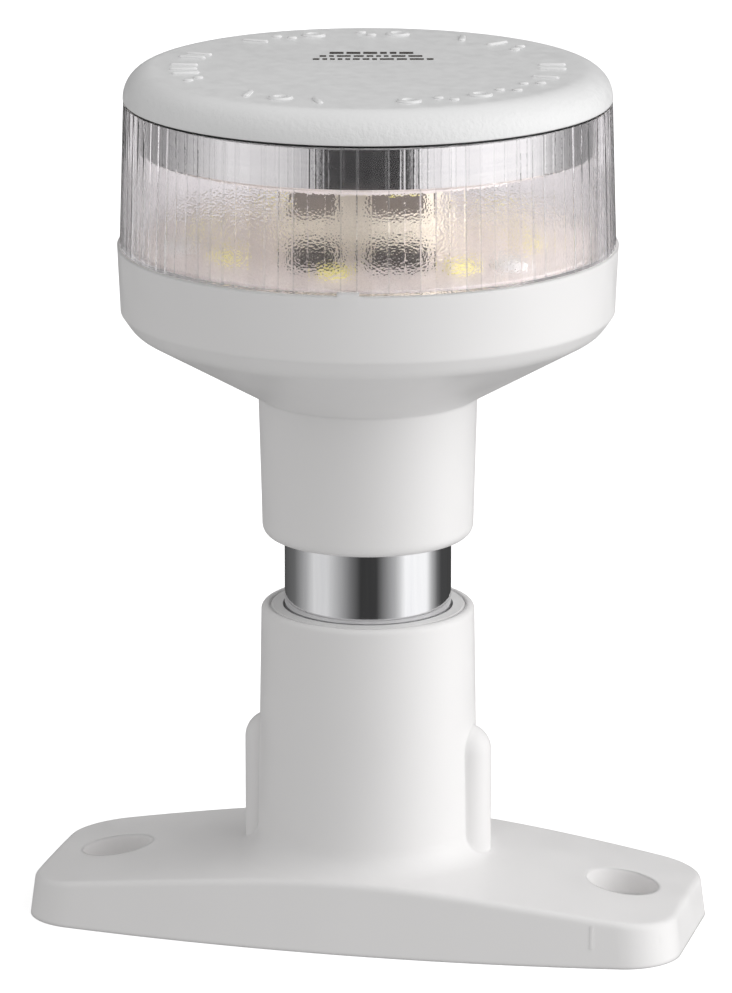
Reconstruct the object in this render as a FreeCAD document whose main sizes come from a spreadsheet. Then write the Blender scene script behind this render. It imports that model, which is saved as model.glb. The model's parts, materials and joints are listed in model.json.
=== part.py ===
import FreeCAD, Part
import Sketcher
import os
import re

# All-round navigation light on a short one-inch pole with a bolt-down pedestal.
# Millimetres. The origin is the centre of the pedestal's underside, +Z is up,
# X runs along the long axis of the base plate and -Y is the front.

SIZES = {
    # Pole
    "tube_radius": 12.7,
    "tube_wall": 1.2,
    "tube_bottom": 15.2,
    "tube_top": 83.2,
    "tube_chamfer": 0.4,
    "running_gap": 0.06,
    "cut_past": 1.0,
    # Base plate
    "base_reach": 51.0,
    "base_waist": 21.8,
    "base_end": 17.3,
    "base_corner": 9.0,
    "base_draft": 6.5,
    "base_blank": 14.5,
    "base_crown": 14.1,
    "base_slope": 0.154,
    "base_rim": 1.0,
    "base_wall": 2.6,
    "base_hollow": 4.0,
    "web_wide": 1.8,
    "web_gap": 0.6,
    "web_bite": 0.5,
    "mould_across": 38.8,
    "mould_wide": 0.3,
    "mould_low": 3.0,
    "mould_high": 6.5,
    "mould_proud": 0.08,
    # Base screws
    "bolt_reach": 40.0,
    "bolt_hole": 2.6,
    "bolt_recess": 5.5,
    "bolt_seat": 4.2,
    "bolt_boss": 8.0,
    # Column and its socket
    "column_foot": 17.0,
    "column_head": 16.25,
    "column_top": 49.5,
    "column_start": 5.0,
    "column_blend": 4.0,
    "column_edge": 0.8,
    "chamber_radius": 11.0,
    "chamber_top": 11.2,
    "cable_hole": 9.0,
    "bush_radius": 15.0,
    "bush_mouth": 13.0,
    "bush_mouth_deep": 3.0,
    "bush_mouth_lead": 0.5,
    "bush_edge": 0.4,
    # Side bosses on the column
    "boss_reach": 15.3,
    "boss_radius": 4.0,
    "boss_peak": 31.3,
    # Clamp plate under the column
    "clamp_radius": 17.6,
    "clamp_thick": 1.8,
    "clamp_screw_reach": 14.2,
    "clamp_screw_hole": 1.25,
    "clamp_screw_deep": 13.7,
    "clamp_screw_tip": 13.2,
    # Cable grommet
    "grommet_radius": 5.0,
    "grommet_flange": 6.8,
    "grommet_bore": 3.2,
    "grommet_lip": 1.2,
    "grommet_tail": 1.0,
    # Grub screws
    "grub_radius": 2.5,
    "grub_socket": 1.25,
    "grub_socket_deep": 1.4,
    "grub_point": 1.4,
    "grub_gap": 0.3,
    "pole_grub_rise": 37.2,
    "pole_grub_back": 16.1,
    "neck_grub_rise": 72.2,
    "neck_grub_back": 15.9,
    # Head housing
    "neck_bottom": 60.5,
    "neck_radius": 16.0,
    "neck_seam_radius": 16.6,
    "neck_seam_rise": 82.4,
    "neck_edge": 1.8,
    "bowl_radius": 35.6,
    "bowl_rise": 93.1,
    "bowl_blend": 5.0,
    "wall_radius": 37.3,
    "wall_rise": 95.6,
    "rim_radius": 37.75,
    "rim_rise": 105.7,
    "rim_bore": 34.6,
    "shelf_rise": 104.6,
    "shelf_bore": 32.2,
    "inner_rise": 95.2,
    "inner_floor": 85.4,
    "inner_seam": 14.5,
    "stop_radius": 10.6,
    "key_wide": 3.2,
    "key_high": 0.55,
    "key_deep": 1.1,
    "key_reach": 37.15,
    "key_turn": -81.0,
    "key_gap": 0.1,
    "key_root": 1.0,
    "notch_deep": 4.0,
    "ring_groove_rise": 64.2,
    "ring_groove_high": 2.3,
    "ring_groove_radius": 14.5,
    # Seals
    "ring_reach": 13.66,
    "ring_radius": 0.84,
    "rim_seal_inner": 35.5,
    "rim_seal_outer": 36.5,
    "rim_seal_deep": 0.8,
    "top_seal_step": 0.35,
    # Driver electronics in the bowl
    "post_radius": 2.6,
    "driver_post_reach": 17.5,
    "driver_screw_deep": 2.4,
    "driver_radius": 22.5,
    "driver_hole": 7.2,
    "driver_rise": 93.8,
    "board_thick": 1.2,
    "choke_reach": 14.5,
    "choke_radius": 4.0,
    "choke_hole": 1.3,
    "choke_high": 4.6,
    "choke_turn": 60.0,
    "can_reach": 15.0,
    "can_radius": 3.1,
    "can_high": 6.6,
    "can_turn": 180.0,
    "chip_reach": 11.0,
    "chip_long": 7.0,
    "chip_wide": 5.0,
    "chip_high": 1.7,
    "block_reach": 14.0,
    "block_long": 10.0,
    "block_wide": 7.0,
    "block_high": 6.4,
    "block_pitch": 5.0,
    "block_turn": -60.0,
    "clamp_way": 1.6,
    "clamp_way_gap": 0.05,
    "clamp_way_sunk": 0.6,
    "pin_reach": 10.0,
    "pin_radius": 0.4,
    # LED boards, reflector and drum
    "lamp_board_radius": 34.2,
    "lamp_board_thick": 1.4,
    "lamp_post_reach": 28.5,
    "lamp_post_low": 6.2,
    "lamp_post_turn": 90.0,
    "lamp_screw_deep": 4.0,
    "pilot_low": 6.0,
    "led_reach": 24.8,
    "led_wide": 4.2,
    "led_deep": 2.0,
    "led_high": 0.9,
    "led_count": 8,
    "led_turn": 2.0,
    "upper_led_turn": 24.5,
    "part_reach": 17.8,
    "left_part_across": -7.9,
    "left_part_long": 6.4,
    "right_part_across": 4.2,
    "right_part_long": 8.2,
    "part_wide": 3.4,
    "part_high": 2.8,
    "upper_part_high": 5.5,
    "part_turn": 13.5,
    "lamp_board_hole": 3.0,
    "reflector_radius": 11.5,
    "reflector_wall": 1.6,
    "reflector_foot": 13.2,
    "reflector_foot_high": 1.2,
    "reflector_flare": 1.2,
    "reflector_web": 3.0,
    "long_pin_reach": 6.0,
    "pin_way": 0.6,
    "upper_board_rise": 119.1,
    "upper_board_radius": 29.5,
    "drum_rise": 120.5,
    "drum_radius": 34.3,
    "drum_wall": 0.9,
    "drum_chamfer": 0.4,
    "drum_top": 126.8,
    "drum_hub": 4.5,
    "drum_hub_high": 0.8,
    "drum_screw_deep": 2.5,
    # Screws
    "screw_radius": 1.25,
    "screw_head": 2.3,
    "screw_head_high": 1.4,
    "screw_slot": 0.8,
    "screw_slot_deep": 0.7,
    # Lens
    "lens_foot": 37.4,
    "lens_head": 36.7,
    "lens_bore": 35.1,
    "lens_top": 127.45,
    # Top cap
    "cap_radius": 36.7,
    "cap_bottom": 127.7,
    "cap_face": 132.5,
    "cap_edge": 4.4,
    "cap_skin": 2.2,
    "cap_skirt_outer": 32.8,
    "cap_skirt_inner": 31.4,
    "cap_skirt_bottom": 124.6,
    "mark_high": 0.3,
    "mark_inner": 25.6,
    "mark_outer": 29.4,
    "mark_thick": 1.2,
    "mark_count": 18,
}

PIECES = []
GROUND = ("0", "0", "0")
EDGE_SLACK = 0.3


# ---------------------------------------------------------------- sketches and features


def sized(text):
    """The expression with every size name read from the sheet."""
    return re.sub("[a-z_]+", lambda word: f"Sizes.{word[0]}" if word[0] in SIZES else word[0], text)


def fill_sheet(doc):
    sheet = doc.addObject("Spreadsheet::Sheet", "Sizes")
    for row, (alias, value) in enumerate(SIZES.items(), start=1):
        sheet.set(f"A{row}", alias)
        sheet.set(f"B{row}", str(value))
        sheet.setAlias(f"B{row}", alias)
    doc.recompute()


def new_piece(doc, label):
    body = doc.addObject("PartDesign::Body", label)
    body.Label = label
    PIECES.append(body)
    return body


def origin_item(body, role):
    return next(item for item in body.Origin.OriginFeatures if item.Role == role)


def value_of(holder, text):
    return float(holder.evalExpression(sized(text)))


def flat_sketch(body, role, shift=GROUND):
    """A sketch on an origin plane, moved by expressions along its own three axes."""
    sketch = body.newObject("Sketcher::SketchObject", "Outline")
    sketch.AttachmentSupport = (origin_item(body, role), [""])
    sketch.MapMode = "FlatFace"
    for axis, amount in zip("xyz", shift):
        sketch.setExpression(f"AttachmentOffset.Base.{axis}", sized(amount))
    return sketch


def turn_sketch(sketch, degrees):
    """Turns a sketch in its own plane."""
    base = sketch.AttachmentOffset.Base
    sketch.AttachmentOffset = FreeCAD.Placement(base, FreeCAD.Rotation(FreeCAD.Vector(0, 0, 1), 1))
    sketch.setExpression("AttachmentOffset.Rotation.Angle", sized(degrees))


def drive(sketch, text, *constraint):
    """Adds a constraint whose value follows an expression."""
    index = sketch.addConstraint(Sketcher.Constraint(*constraint, value_of(sketch, text)))
    sketch.setExpression(f"Constraints[{index}]", sized(text))


def corner_point(sketch, corner):
    return FreeCAD.Vector(value_of(sketch, corner[0]), value_of(sketch, corner[1]), 0)


def add_loop(sketch, corners, bows=None):
    """Closes edges through corners given as pairs of expressions.

    bows maps an edge's number to its middle point and radius, for an edge that is an arc
    running anticlockwise.
    """
    bows = bows or {}
    first = sketch.GeometryCount
    count = len(corners)
    for number, corner in enumerate(corners):
        ends = corner_point(sketch, corner), corner_point(sketch, corners[(number + 1) % count])
        if number in bows:
            edge = Part.Arc(ends[0], corner_point(sketch, bows[number][0]), ends[1])
        else:
            edge = Part.LineSegment(*ends)
        sketch.addGeometry(edge, False)
    for number, corner in enumerate(corners):
        edge = first + number
        sketch.addConstraint(Sketcher.Constraint("Coincident", edge, 2, first + (number + 1) % count, 1))
        drive(sketch, corner[0], "DistanceX", -1, 1, edge, 1)
        drive(sketch, corner[1], "DistanceY", -1, 1, edge, 1)
    for number, (_, radius) in bows.items():
        drive(sketch, radius, "Radius", first + number)


def add_circle(sketch, centre, radius):
    shape = Part.Circle(corner_point(sketch, centre), FreeCAD.Vector(0, 0, 1), value_of(sketch, radius))
    edge = sketch.addGeometry(shape, False)
    drive(sketch, centre[0], "DistanceX", -1, 1, edge, 3)
    drive(sketch, centre[1], "DistanceY", -1, 1, edge, 3)
    drive(sketch, radius, "Radius", edge)


def turn(body, corners, shift=GROUND, kind="Revolution", bows=None):
    """Turns (radius, height) corners about the sketch's own upright axis."""
    sketch = flat_sketch(body, "XZ_Plane", shift)
    add_loop(sketch, corners, bows)
    feature = body.newObject(f"PartDesign::{kind}", kind)
    feature.Profile = sketch
    feature.ReferenceAxis = (sketch, ["V_Axis"])
    feature.Angle = 360
    return feature


def turned_piece(doc, label, corners, shift=GROUND):
    body = new_piece(doc, label)
    turn(body, corners, shift)
    return body


def pad(body, sketch, length, taper="0"):
    feature = body.newObject("PartDesign::Pad", "Pad")
    feature.Profile = sketch
    feature.setExpression("Length", sized(length))
    feature.setExpression("TaperAngle", sized(taper))
    return feature


def pocket(body, sketch, depth):
    """Cuts along the sketch plane's normal: upwards from a flat plane, inwards from the rear."""
    feature = body.newObject("PartDesign::Pocket", "Pocket")
    feature.Profile = sketch
    feature.setExpression("Length", sized(depth))
    feature.Reversed = True
    return feature


def box_corners(wide, deep):
    return [
        (f"-({wide})/2", f"-({deep})/2"),
        (f"({wide})/2", f"-({deep})/2"),
        (f"({wide})/2", f"({deep})/2"),
        (f"-({wide})/2", f"({deep})/2"),
    ]


def block(body, wide, deep, high, shift):
    """An upright box standing on the sketch, centred on it."""
    sketch = flat_sketch(body, "XY_Plane", shift)
    add_loop(sketch, box_corners(wide, deep))
    return pad(body, sketch, high)


def post(body, radius, high, shift):
    """An upright round post standing on the sketch."""
    sketch = flat_sketch(body, "XY_Plane", shift)
    add_circle(sketch, ("0", "0"), radius)
    return pad(body, sketch, high)


def ring_of(body, features, count):
    """Repeats features evenly round the upright axis."""
    pattern = body.newObject("PartDesign::PolarPattern", "Ring")
    pattern.Originals = features
    pattern.Axis = (origin_item(body, "Z_Axis"), [""])
    pattern.Angle = 360
    pattern.setExpression("Occurrences", sized(count))
    body.Tip = pattern
    return pattern


def round_edges(body, wanted, radius):
    """Rounds those edges of the body so far that the test picks."""
    body.Document.recompute()
    base = body.Tip
    names = [f"Edge{number}" for number, edge in enumerate(base.Shape.Edges, start=1) if wanted(edge)]
    if not names:
        raise RuntimeError(f"no edge to round on {body.Label}")
    feature = body.newObject("PartDesign::Fillet", "Rounding")
    feature.Base = (base, names)
    feature.setExpression("Radius", sized(radius))
    return feature


def ring_edge(radius, rise):
    """A test for circles round the upright axis, near one radius and height."""

    def wanted(edge):
        if not isinstance(edge.Curve, Part.Circle):
            return False
        centre = edge.Curve.Center
        on_axis = abs(centre.x) < EDGE_SLACK and abs(centre.y) < EDGE_SLACK
        in_height = abs(centre.z - rise) < EDGE_SLACK
        return on_axis and in_height and abs(edge.Curve.Radius - radius) < EDGE_SLACK

    return wanted


def spin(body, degrees):
    """Turns a whole piece about the upright axis."""
    body.Placement = FreeCAD.Placement(FreeCAD.Vector(), FreeCAD.Rotation(FreeCAD.Vector(0, 0, 1), 1))
    body.setExpression("Placement.Rotation.Angle", sized(degrees))


# ---------------------------------------------------------------- pedestal


def plate_outline(sketch, inset):
    """Flat ends and two bowed long sides, all moved inwards by the inset."""
    reach, waist, end = (f"({name} - {inset})" for name in ("base_reach", "base_waist", "base_end"))
    radius = f"({reach}^2 + ({waist} - {end})^2) / (2 * ({waist} - {end}))"
    corners = [(f"-{reach}", f"-{end}"), (reach, f"-{end}"), (reach, end), (f"-{reach}", end)]
    add_loop(sketch, corners, {0: (("0", f"-{waist}"), radius), 2: (("0", waist), radius)})


def upright_corner(edge):
    """An edge that runs from the underside to the top of the blank."""
    return edge.BoundBox.ZLength > SIZES["base_blank"] / 2


def base_plate(body):
    sketch = flat_sketch(body, "XY_Plane")
    plate_outline(sketch, "0")
    pad(body, sketch, "base_blank", "-base_draft")
    round_edges(body, upright_corner, "base_corner")
    far = "(base_reach + base_waist)"
    crown = [
        ("0", "base_crown"),
        (far, f"base_crown - base_slope * {far}"),
        (far, "base_blank + cut_past"),
        ("0", "base_blank + cut_past"),
    ]
    turn(body, crown, kind="Groove")
    lowest_top = SIZES["base_crown"] - SIZES["base_slope"] * (SIZES["base_reach"] + SIZES["base_corner"])
    round_edges(body, lambda edge: edge.BoundBox.ZMin > lowest_top, "base_rim")


def column(body):
    corners = [
        ("0", "column_start"),
        ("column_foot", "column_start"),
        ("column_head", "column_top"),
        ("0", "column_top"),
    ]
    turn(body, corners)
    foot_rise = SIZES["base_crown"] - SIZES["base_slope"] * SIZES["column_foot"]
    round_edges(body, ring_edge(SIZES["column_foot"], foot_rise), "column_blend")
    round_edges(body, ring_edge(SIZES["column_head"], SIZES["column_top"]), "column_edge")


def side_bosses(body):
    """Two upright round-topped bosses half sunk in the column."""
    shoulder = "(boss_peak - boss_radius)"
    half = "boss_radius * cos(45)"
    corners = [
        ("0", "column_start"),
        ("boss_radius", "column_start"),
        ("boss_radius", shoulder),
        ("0", "boss_peak"),
    ]
    dome = {2: ((half, f"{shoulder} + {half}"), "boss_radius")}
    for side in ("-boss_reach", "boss_reach"):
        turn(body, corners, (side, "0", "0"), bows=dome)


def socket(body):
    """The bore for the bush, the cable hole under it and the chamber below."""
    corners = [
        ("0", "-cut_past"),
        ("chamber_radius", "-cut_past"),
        ("chamber_radius", "chamber_top"),
        ("cable_hole", "chamber_top"),
        ("cable_hole", "tube_bottom"),
        ("bush_radius", "tube_bottom"),
        ("bush_radius", "column_top + cut_past"),
        ("0", "column_top + cut_past"),
    ]
    turn(body, corners, kind="Groove")


def underside(body):
    """A shallow hollow with a rim, two screw bosses and ribs between them and the middle."""
    sketch = flat_sketch(body, "XY_Plane")
    plate_outline(sketch, "base_wall")
    for side in ("-bolt_reach", "bolt_reach"):
        add_circle(sketch, (side, "0"), "bolt_boss")
    pocket(body, sketch, "base_hollow")
    start = "(clamp_radius + web_gap)"
    finish = "(bolt_reach - bolt_boss + web_bite)"
    for side in ("-", ""):
        middle = f"{side}({start} + {finish}) / 2"
        block(body, f"{finish} - {start}", "web_wide", "base_hollow + web_bite", (middle, "0", "0"))


def bolt_holes(body):
    """Through holes with a wider recess above for the screw heads."""
    for radius, rise in (("bolt_hole", "0"), ("bolt_recess", "bolt_seat")):
        sketch = flat_sketch(body, "XY_Plane", ("0", "0", rise))
        for side in ("-bolt_reach", "bolt_reach"):
            add_circle(sketch, (side, "0"), radius)
        pocket(body, sketch, "base_blank")


def clamp_screw_holes(body):
    sketch = flat_sketch(body, "XY_Plane")
    for side in ("-clamp_screw_reach", "clamp_screw_reach"):
        add_circle(sketch, (side, "0"), "clamp_screw_hole")
    pocket(body, sketch, "clamp_screw_deep")


def grub_hole(body, rise, reach):
    """A round hole through the rear wall, level with a grub screw."""
    sketch = flat_sketch(body, "XZ_Plane", ("0", rise, f"-({reach})"))
    add_circle(sketch, ("0", "0"), "grub_radius")
    pocket(body, sketch, reach)


def mould_mark(body):
    """A fine upright witness line on the front wall of the plate, following its draft."""
    foot = "(base_waist - (base_waist - base_end) * (mould_across / base_reach)^2)"
    low, high = (f"(-{foot} + {rise} * tan(base_draft))" for rise in ("mould_low", "mould_high"))
    sketch = flat_sketch(body, "YZ_Plane", ("0", "0", "mould_across"))
    add_loop(sketch, [
        (f"{low} - mould_proud", "mould_low"),
        (f"{low} + mould_wide", "mould_low"),
        (f"{high} + mould_wide", "mould_high"),
        (f"{high} - mould_proud", "mould_high"),
    ])
    pad(body, sketch, "mould_wide")


def pedestal(doc):
    body = new_piece(doc, "pedestal")
    base_plate(body)
    column(body)
    side_bosses(body)
    socket(body)
    underside(body)
    bolt_holes(body)
    clamp_screw_holes(body)
    grub_hole(body, "pole_grub_rise", "column_foot + cut_past")
    mould_mark(body)


def socket_bush(doc):
    corners = [
        ("tube_radius + running_gap", "tube_bottom"),
        ("bush_radius", "tube_bottom"),
        ("bush_radius", "column_top - bush_edge"),
        ("bush_radius - bush_edge", "column_top"),
        ("bush_mouth", "column_top"),
        ("bush_mouth", "column_top - bush_mouth_deep"),
        ("tube_radius + running_gap", "column_top - bush_mouth_deep - bush_mouth_lead"),
    ]
    body = turned_piece(doc, "socket_bush", corners)
    grub_hole(body, "pole_grub_rise", "column_foot + cut_past")


def grub_screw(doc, label, rise, outer):
    """A headless screw pointing forwards at the tube, with a hexagon-key socket behind."""
    tip = "(tube_radius + grub_gap)"
    corners = [
        ("0", tip),
        ("grub_point", tip),
        ("grub_radius", f"{tip} + grub_radius - grub_point"),
        ("grub_radius", outer),
        ("grub_socket", outer),
        ("grub_socket", f"{outer} - grub_socket_deep"),
        ("0", f"{outer} - grub_socket_deep"),
    ]
    body = new_piece(doc, label)
    sketch = flat_sketch(body, "XY_Plane", ("0", "0", rise))
    add_loop(sketch, corners)
    feature = body.newObject("PartDesign::Revolution", "Revolution")
    feature.Profile = sketch
    feature.ReferenceAxis = (sketch, ["V_Axis"])
    feature.Angle = 360


def clamp_plate(doc):
    body = turned_piece(doc, "clamp_plate", [
        ("grommet_radius", "base_hollow - clamp_thick"),
        ("clamp_radius", "base_hollow - clamp_thick"),
        ("clamp_radius", "base_hollow"),
        ("grommet_radius", "base_hollow"),
    ])
    sketch = flat_sketch(body, "XY_Plane")
    for side in ("-clamp_screw_reach", "clamp_screw_reach"):
        add_circle(sketch, (side, "0"), "clamp_screw_hole")
    pocket(body, sketch, "base_hollow + cut_past")


def screw_corners(low, high, head_up=True):
    """A pan-head screw between two heights, with its head at the top or the bottom."""
    if head_up:
        head, slot = f"{high} - screw_head_high", f"{high} - screw_slot_deep"
        return [
            ("0", low), ("screw_radius", low), ("screw_radius", head), ("screw_head", head),
            ("screw_head", high), ("screw_slot", high), ("screw_slot", slot), ("0", slot),
        ]
    head, slot = f"{low} + screw_head_high", f"{low} + screw_slot_deep"
    return [
        ("0", high), ("screw_radius", high), ("screw_radius", head), ("screw_head", head),
        ("screw_head", low), ("screw_slot", low), ("screw_slot", slot), ("0", slot),
    ]


def screw_ring(doc, label, corners, reach, count, degrees="0"):
    body = new_piece(doc, label)
    feature = turn(body, corners, (reach, "0", "0"))
    ring_of(body, [feature], count)
    spin(body, degrees)


def cable_grommet(doc):
    """A rubber sleeve held in the clamp plate by a flange on each side."""
    low = "base_hollow - clamp_thick"
    turned_piece(doc, "cable_grommet", [
        ("grommet_bore", f"{low} - grommet_tail"),
        ("grommet_flange", f"{low} - grommet_tail"),
        ("grommet_flange", low),
        ("grommet_radius", low),
        ("grommet_radius", "base_hollow"),
        ("grommet_flange", "base_hollow"),
        ("grommet_flange", "base_hollow + grommet_lip"),
        ("grommet_bore", "base_hollow + grommet_lip"),
    ])


# ---------------------------------------------------------------- pole and head housing


def pole_tube(doc):
    bore = "tube_radius - tube_wall"
    turned_piece(doc, "pole_tube", [
        (bore, "tube_bottom"),
        ("tube_radius - tube_chamfer", "tube_bottom"),
        ("tube_radius", "tube_bottom + tube_chamfer"),
        ("tube_radius", "tube_top - tube_chamfer"),
        ("tube_radius - tube_chamfer", "tube_top"),
        (bore, "tube_top"),
    ])


def housing_shell(body):
    bore = "tube_radius + running_gap"
    groove_top = "ring_groove_rise + ring_groove_high"
    turn(body, [
        (bore, "neck_bottom"),
        ("neck_radius", "neck_bottom"),
        ("neck_seam_radius", "neck_seam_rise"),
        ("bowl_radius", "bowl_rise"),
        ("wall_radius", "wall_rise"),
        ("rim_radius", "rim_rise"),
        ("rim_seal_outer", "rim_rise"),
        ("rim_seal_outer", "rim_rise - rim_seal_deep"),
        ("rim_seal_inner", "rim_rise - rim_seal_deep"),
        ("rim_seal_inner", "rim_rise"),
        ("rim_bore", "rim_rise"),
        ("rim_bore", "shelf_rise"),
        ("shelf_bore", "shelf_rise"),
        ("shelf_bore", "inner_rise"),
        ("inner_seam", "inner_floor"),
        ("stop_radius", "inner_floor"),
        ("stop_radius", "tube_top"),
        (bore, "tube_top"),
        (bore, groove_top),
        ("ring_groove_radius", groove_top),
        ("ring_groove_radius", "ring_groove_rise"),
        (bore, "ring_groove_rise"),
    ])
    round_edges(body, ring_edge(SIZES["neck_radius"], SIZES["neck_bottom"]), "neck_edge")
    round_edges(body, ring_edge(SIZES["bowl_radius"], SIZES["bowl_rise"]), "bowl_blend")


def housing_posts(body):
    """Screw posts for the driver board and for the lamp board."""
    low = "inner_floor"
    posts = [
        post(body, "post_radius", f"driver_rise - {low}", ("driver_post_reach", "0", low)),
        post(body, "post_radius", f"shelf_rise - {low} - lamp_post_low",
             ("0", "lamp_post_reach", f"{low} + lamp_post_low")),
    ]
    ring_of(body, posts, "3")


def housing_pilots(body):
    sketch = flat_sketch(body, "XY_Plane", ("0", "0", "inner_floor + pilot_low"))
    for centre in (("driver_post_reach", "0"), ("0", "lamp_post_reach")):
        add_circle(sketch, centre, "screw_radius")
    ring_of(body, [pocket(body, sketch, "shelf_rise - inner_floor")], "3")


def index_key(body, deep, wide, high, low, kind):
    """A small block on the rim, or the notch for it, that sets which way round the cover goes."""
    place = ("key_reach * cos(key_turn)", "key_reach * sin(key_turn)", low)
    sketch = flat_sketch(body, "XY_Plane", place)
    turn_sketch(sketch, "key_turn")
    add_loop(sketch, box_corners(deep, wide))
    kind(body, sketch, high)


def head_housing(doc):
    body = new_piece(doc, "head_housing")
    housing_shell(body)
    housing_posts(body)
    housing_pilots(body)
    grub_hole(body, "neck_grub_rise", "neck_seam_radius + cut_past")
    index_key(body, "key_deep", "key_wide", "key_high + key_root", "rim_rise - key_root", pad)


def neck_o_ring(doc):
    ring = doc.addObject("Part::Torus", "neck_o_ring")
    ring.setExpression("Radius1", sized("ring_reach"))
    ring.setExpression("Radius2", sized("ring_radius"))
    ring.setExpression("Placement.Base.z", sized("ring_groove_rise + ring_groove_high / 2"))
    PIECES.append(ring)


def flat_ring(doc, label, inner, outer, low, high):
    return turned_piece(doc, label, [(inner, low), (outer, low), (outer, high), (inner, high)])


# ---------------------------------------------------------------- electronics and lamp


def board(doc, label, hole, radius, rise, thick, screw_place):
    """A round circuit board with three screw holes."""
    body = flat_ring(doc, label, hole, radius, rise, f"{rise} + {thick}")
    sketch = flat_sketch(body, "XY_Plane", ("0", "0", f"{rise} - cut_past"))
    add_circle(sketch, screw_place, "screw_radius")
    ring_of(body, [pocket(body, sketch, f"{thick} + 2 * cut_past")], "3")


def driver_parts(doc):
    top = "(driver_rise + board_thick)"
    choke = turned_piece(doc, "choke_coil", [
        ("choke_hole", top),
        ("choke_radius", top),
        ("choke_radius", f"{top} + choke_high"),
        ("choke_hole", f"{top} + choke_high"),
    ], ("choke_reach", "0", "0"))
    spin(choke, "choke_turn")
    can = turned_piece(doc, "smoothing_capacitor", [
        ("0", top),
        ("can_radius", top),
        ("can_radius", f"{top} + can_high"),
        ("0", f"{top} + can_high"),
    ], ("can_reach", "0", "0"))
    spin(can, "can_turn")
    chip = new_piece(doc, "driver_chip")
    block(chip, "chip_wide", "chip_long", "chip_high", ("chip_reach", "0", top))


def terminal_block(doc):
    top = "(driver_rise + board_thick)"
    body = new_piece(doc, "terminal_block")
    block(body, "block_wide", "block_long", "block_high", ("block_reach", "0", top))
    for side in ("-", ""):
        place = ("block_reach", f"{side}block_pitch / 2", f"{top} + block_high / 2")
        sketch = flat_sketch(body, "XY_Plane", place)
        add_circle(sketch, ("0", "0"), "clamp_way")
        pocket(body, sketch, "block_high")
    spin(body, "block_turn")
    screws = new_piece(doc, "terminal_screws")
    for side in ("-", ""):
        place = ("block_reach", f"{side}block_pitch / 2", f"{top} + block_high / 2")
        post(screws, "clamp_way - clamp_way_gap", "block_high / 2 - clamp_way_sunk", place)
    spin(screws, "block_turn")


def pin_ring(doc, label, reach, low, high):
    """Two thin contact pins between a lower and an upper board."""
    body = new_piece(doc, label)
    ring_of(body, [post(body, "pin_radius", f"{high} - {low}", ("0", reach, low))], "2")


def led_ring(doc, label, low, degrees):
    """Flat packages in a ring on one side of a board."""
    body = new_piece(doc, label)
    ring_of(body, [block(body, "led_deep", "led_wide", "led_high", ("led_reach", "0", low))], "led_count")
    spin(body, degrees)


def board_parts(doc, label, low, high):
    """Two tall rectangular components side by side at the front of a board."""
    body = new_piece(doc, label)
    for side in ("left", "right"):
        place = (f"{side}_part_across", "-part_reach", low)
        block(body, f"{side}_part_long", "part_wide", high, place)
    spin(body, "part_turn")


def reflector_column(doc):
    """A hollow column with a foot, and a web across its top for the drum's screw and the pins."""
    low = "(shelf_rise + lamp_board_thick)"
    web = "upper_board_rise - reflector_web"
    bore = "reflector_radius - reflector_wall"
    body = turned_piece(doc, "reflector_column", [
        (bore, low),
        ("reflector_foot", low),
        ("reflector_foot", f"{low} + reflector_foot_high"),
        ("reflector_radius", f"{low} + reflector_foot_high + reflector_flare"),
        ("reflector_radius", "upper_board_rise"),
        ("screw_radius", "upper_board_rise"),
        ("screw_radius", web),
        (bore, web),
    ])
    sketch = flat_sketch(body, "XY_Plane", ("0", "0", f"{web} - cut_past"))
    for side in ("-", ""):
        add_circle(sketch, ("0", f"{side}long_pin_reach"), "pin_way")
    pocket(body, sketch, "reflector_web + 2 * cut_past")


def heat_sink_drum(doc):
    turned_piece(doc, "heat_sink_drum", [
        ("screw_radius", "drum_rise"),
        ("drum_radius - drum_chamfer", "drum_rise"),
        ("drum_radius", "drum_rise + drum_chamfer"),
        ("drum_radius", "drum_top"),
        ("drum_radius - drum_wall", "drum_top"),
        ("drum_radius - drum_wall", "drum_rise + drum_wall"),
        ("drum_hub", "drum_rise + drum_wall"),
        ("drum_hub", "drum_rise + drum_wall + drum_hub_high"),
        ("screw_radius", "drum_rise + drum_wall + drum_hub_high"),
    ])


# ---------------------------------------------------------------- cover


def lens(doc):
    body = turned_piece(doc, "lens", [
        ("lens_bore", "rim_rise"),
        ("lens_foot", "rim_rise"),
        ("lens_head", "lens_top"),
        ("lens_bore", "lens_top"),
    ])
    wide = "key_wide + 2 * key_gap"
    index_key(body, "notch_deep", wide, "key_high + key_gap + key_root", "rim_rise - key_root", pocket)


def top_cap(doc):
    body = new_piece(doc, "top_cap")
    skin = "cap_face - cap_skin"
    turn(body, [
        ("0", skin),
        ("cap_skirt_inner", skin),
        ("cap_skirt_inner", "cap_skirt_bottom"),
        ("cap_skirt_outer", "cap_skirt_bottom"),
        ("cap_skirt_outer", "cap_bottom"),
        ("cap_radius", "cap_bottom"),
        ("cap_radius", "cap_face"),
        ("0", "cap_face"),
    ])
    round_edges(body, ring_edge(SIZES["cap_radius"], SIZES["cap_face"]), "cap_edge")
    bar_middle = "(mark_inner + mark_outer) / 2"
    bar = block(body, "mark_outer - mark_inner", "mark_thick", "mark_high", (bar_middle, "0", "cap_face"))
    ring_of(body, [bar], "mark_count")


def check_pieces(doc):
    failed = [item.Label for item in doc.Objects if {"Invalid", "Error"} & set(item.State)]
    if failed:
        raise RuntimeError(f"failed features: {failed}")
    for piece in PIECES:
        if piece.Shape.isNull() or not piece.Shape.isValid():
            raise RuntimeError(f"bad shape: {piece.Label}")


def write_pieces():
    os.makedirs("parts", exist_ok=True)
    for piece in PIECES:
        piece.Shape.exportStep(f"parts/{piece.Label}.step")


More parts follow.
